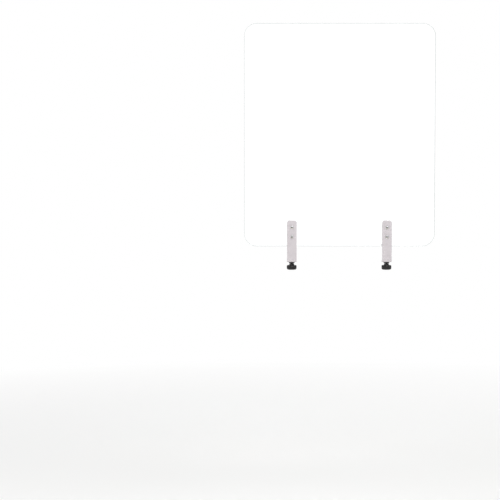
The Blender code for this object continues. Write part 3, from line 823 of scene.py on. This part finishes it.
def makeFoot(side):
    node = f"{side}_pressure_foot"
    low, high, centre, radius = measure(node)
    floor = low.z + foot["floor"]
    line = filleted([
        (radius, high.z, foot["topEase"]), (radius, low.z + foot["stepHigh"], foot["stepEase"]),
        (radius - foot["step"], low.z + foot["stepLow"], foot["waistEase"]),
        (radius - 2 * foot["step"], low.z, foot["underEase"]),
        (foot["hole"], low.z, foot["innerEase"]), (foot["hole"], floor), (foot["recess"], floor),
        (foot["recess"], high.z, foot["innerEase"])])

    def ridged(r, angle, height):
        if r < radius - foot["ridgeDeep"]:
            return r
        return r - foot["ridgeDeep"] * (0.5 - 0.5 * math.cos(foot["ridges"] * angle))
    addPiece(f"{side}PressureFoot", turned(line, 240, ridged, ring=True), "black", node,
             f"{side}_foot", (centre.x, centre.y, 0))


# rubber pad on the foot, with rings that grip the desk
footPad = {"ease": 0.5 * mm, "underEase": 0.2 * mm, "rings": 5, "ringSteps": 8, "ringShare": 0.35,
           "ringDeep": 0.45 * mm}


def makeFootPad(side):
    node = f"{side}_foot_pad"
    low, high, _, radius = measure(node)
    centre = middle(f"{side}_pressure_foot")
    line = [(0, high.z)]
    ring = (radius - footPad["ease"]) / (footPad["rings"] + 0.5)
    for i in range(1, footPad["rings"] + 1):
        # shallow round-bottomed rings in the gripping face
        for k in range(footPad["ringSteps"] + 1):
            swing = math.pi * k / footPad["ringSteps"]
            line.append((ring * i - footPad["ringShare"] * ring * math.cos(swing),
                         high.z - footPad["ringDeep"] * math.sin(swing)))
    line += filleted([
        line[-1], (radius, high.z, footPad["ease"]), (radius, low.z - press, footPad["underEase"]),
        (0, low.z - press)])[1:]
    addPiece(f"{side}FootPad", turned(line, 96), "rubber", node, f"{side}_foot",
             (centre.x, centre.y, 0))


# thumb knob: a boss, a fluted head and a pressed-in cap under it
knob = {"head": 15.2 * mm, "bore": 4.3 * mm, "boreEase": 0.3 * mm, "floor": 3.7 * mm,
        "boss": 7.5 * mm, "bossEase": 0.6 * mm, "taper": 0.3 * mm, "neck": 1.6 * mm, "dome": 0.5 * mm,
        "top": 3.2 * mm, "base": 5.0 * mm, "lobes": 8, "flute": 5.0 * mm, "fluteDeep": 1.9 * mm,
        "soft": 1.0 * mm}
knobCap = {"radius": 8.0 * mm, "rim": 0.15 * mm, "seam": 0.45 * mm, "seamWide": 0.4 * mm,
           "crown": 0.9 * mm, "drop": 0.45 * mm, "middle": 0.1 * mm}


def makeKnob(side):
    node = f"{side}_knob"
    low, high, centre, radius = measure(node)
    headTop = low.z + knob["head"]
    floor = low.z + knob["floor"]
    base = low.z + knobCap["crown"]
    seamRim = base - knobCap["seamWide"]
    seamFloor = seamRim + knobCap["seam"]
    seamOut = knobCap["radius"] + knobCap["seamWide"]
    line = filleted([
        (knob["bore"], high.z, knob["boreEase"]), (knob["boss"], high.z, knob["bossEase"]),
        (knob["boss"] + knob["taper"], headTop, knob["neck"]),
        (radius, headTop - knob["dome"], knob["top"]), (radius, base, knob["base"]),
        (seamOut, seamRim, knobCap["rim"]), (seamOut, seamFloor), (knobCap["radius"], seamFloor),
        (knobCap["radius"], base - knobCap["drop"], knobCap["rim"]),
        (knobCap["radius"] * 0.5, low.z + knobCap["middle"]), (0, low.z), (0, floor),
        (knob["bore"], floor)], 8)
    ringRadius = radius + knob["flute"] - knob["fluteDeep"]

    def fluted(r, angle, height):
        # cuts the grip's flutes and softens the ridges between them
        if height > headTop + 0.01 * mm or r < seamOut + 0.1 * mm:
            return r
        away = (angle % (2 * math.pi / knob["lobes"])) - math.pi / knob["lobes"]
        across = ringRadius * math.sin(away)
        if abs(across) >= knob["flute"]:
            return r
        cutTo = ringRadius * math.cos(away) - math.sqrt(knob["flute"] ** 2 - across ** 2)
        blend = max(knob["soft"] - abs(r - cutTo), 0) / knob["soft"]
        return min(r, cutTo) - blend * blend * knob["soft"] / 4
    addPiece(f"{side}Knob", turned(line, 256, fluted, ring=True), "black", node, f"{side}_screw",
             (centre.x, centre.y, 0))


makeSheet()
print("sheet made")
for side in sides:
    makePlates(side)
    makeGaskets(side)
    for level in levels:
        makeScrew(side, level)
        makeNut(side, level)
        makeWasher(side, level)
        makeSleeve(side, level)
    makeJawPad(side)
    makeBush(side)
    makeSpindle(side)
    makeClip(side)
    makeFoot(side)
    makeFootPad(side)
    makeKnob(side)
    print(side, "clamp made")


# studio: pale paper floor that runs out into a white surround, and soft lamps
studio = {"floorDrop": 0.74, "floorSize": 40, "paper": "#F4F4F3", "rough": 0.9, "grain": 8 * mm,
          "grainDepth": 0.1 * mm, "fadeFrom": 0.6, "fadeTo": 3.0, "surround": 1.0,
          "throughSheet": 1.09, "glowLow": 0.48, "glowHigh": 0.62, "glowFloor": 0.53}
lamps = {"keyLamp": {"place": (0.9, -3.4, 2.9), "size": 1.6, "power": 92},
         "fillLamp": {"place": (-3.0, -2.4, 1.4), "size": 2.0, "power": 26},
         "backLamp": {"place": (1.2, 3.2, 2.4), "size": 1.6, "power": 38}}


def whiteWhereSeen(tree, glow):
    # white where it is seen, a little brighter through the sheet, to make up for what its faces
    # mirror, and only a glow where it lights the pieces
    path = addNode(tree, "LightPath").outputs
    seen = addNode(tree, "Mix", {
        "Factor": path["Is Camera Ray"], "A": glow, "B": studio["surround"]})
    return addNode(tree, "Mix", {
        "Factor": path["Is Transmission Ray"], "A": seen, "B": studio["throughSheet"]})


def makeFloor():
    material, tree, place = newMaterial("studioPaper")
    grain = addNode(tree, "TexNoise", {
        "Vector": place, "Scale": 1 / studio["grain"], "Detail": 4.0})
    tooth = addNode(tree, "Bump", {
        "Height": grain, "Distance": studio["grainDepth"], "Strength": 0.3})
    paper = addNode(tree, "BsdfPrincipled", {
        "Base Color": linear(studio["paper"]), "Roughness": studio["rough"], "Normal": tooth})
    reach = addNode(tree, "VectorMath", {0: place}, operation="LENGTH").outputs["Value"]
    fade = addNode(tree, "MapRange", {
        "Value": reach, "From Min": studio["fadeFrom"], "From Max": studio["fadeTo"]})
    white = addNode(tree, "Emission", {"Strength": whiteWhereSeen(tree, studio["glowFloor"])})
    shader = addNode(tree, "MixShader", {0: fade, 1: paper, 2: white})
    addNode(tree, "OutputMaterial", {"Surface": shader})
    shape = bmesh.new()
    bmesh.ops.create_circle(shape, cap_ends=True, segments=96, radius=studio["floorSize"])
    floor = makeObject("floor", shape)
    floor.data.materials.append(material)
    floor.location.z = -studio["floorDrop"]


def makeSurround():
    world = bpy.data.worlds.new("surround")
    bpy.context.scene.world = world
    world.use_nodes = True
    tree = world.node_tree
    tree.nodes.clear()
    place = addNode(tree, "TexCoord").outputs["Generated"]
    up = addNode(tree, "SeparateXYZ", {0: place}).outputs["Z"]
    glow = addNode(tree, "MapRange", {
        "Value": up, "From Min": -1.0, "From Max": 1.0, "To Min": studio["glowLow"],
        "To Max": studio["glowHigh"]})
    light = addNode(tree, "Background", {"Color": (1, 1, 1, 1), "Strength": whiteWhereSeen(tree, glow)})
    addNode(tree, "OutputWorld", {"Surface": light})


def makeLamps():
    aim = (cadBox[0] + cadBox[1]) / 2
    for name, lamp in lamps.items():
        data = bpy.data.lights.new(name, "AREA")
        data.size = lamp["size"]
        data.energy = lamp["power"]
        item = bpy.data.objects.new(name, data)
        item.location = lamp["place"]
        item.rotation_euler = (aim - item.location).to_track_quat("-Z", "Y").to_euler()
        bpy.context.scene.collection.objects.link(item)


bpy.context.scene.view_settings.view_transform = "Standard"
makeFloor()
makeSurround()
makeLamps()
print("studio made")
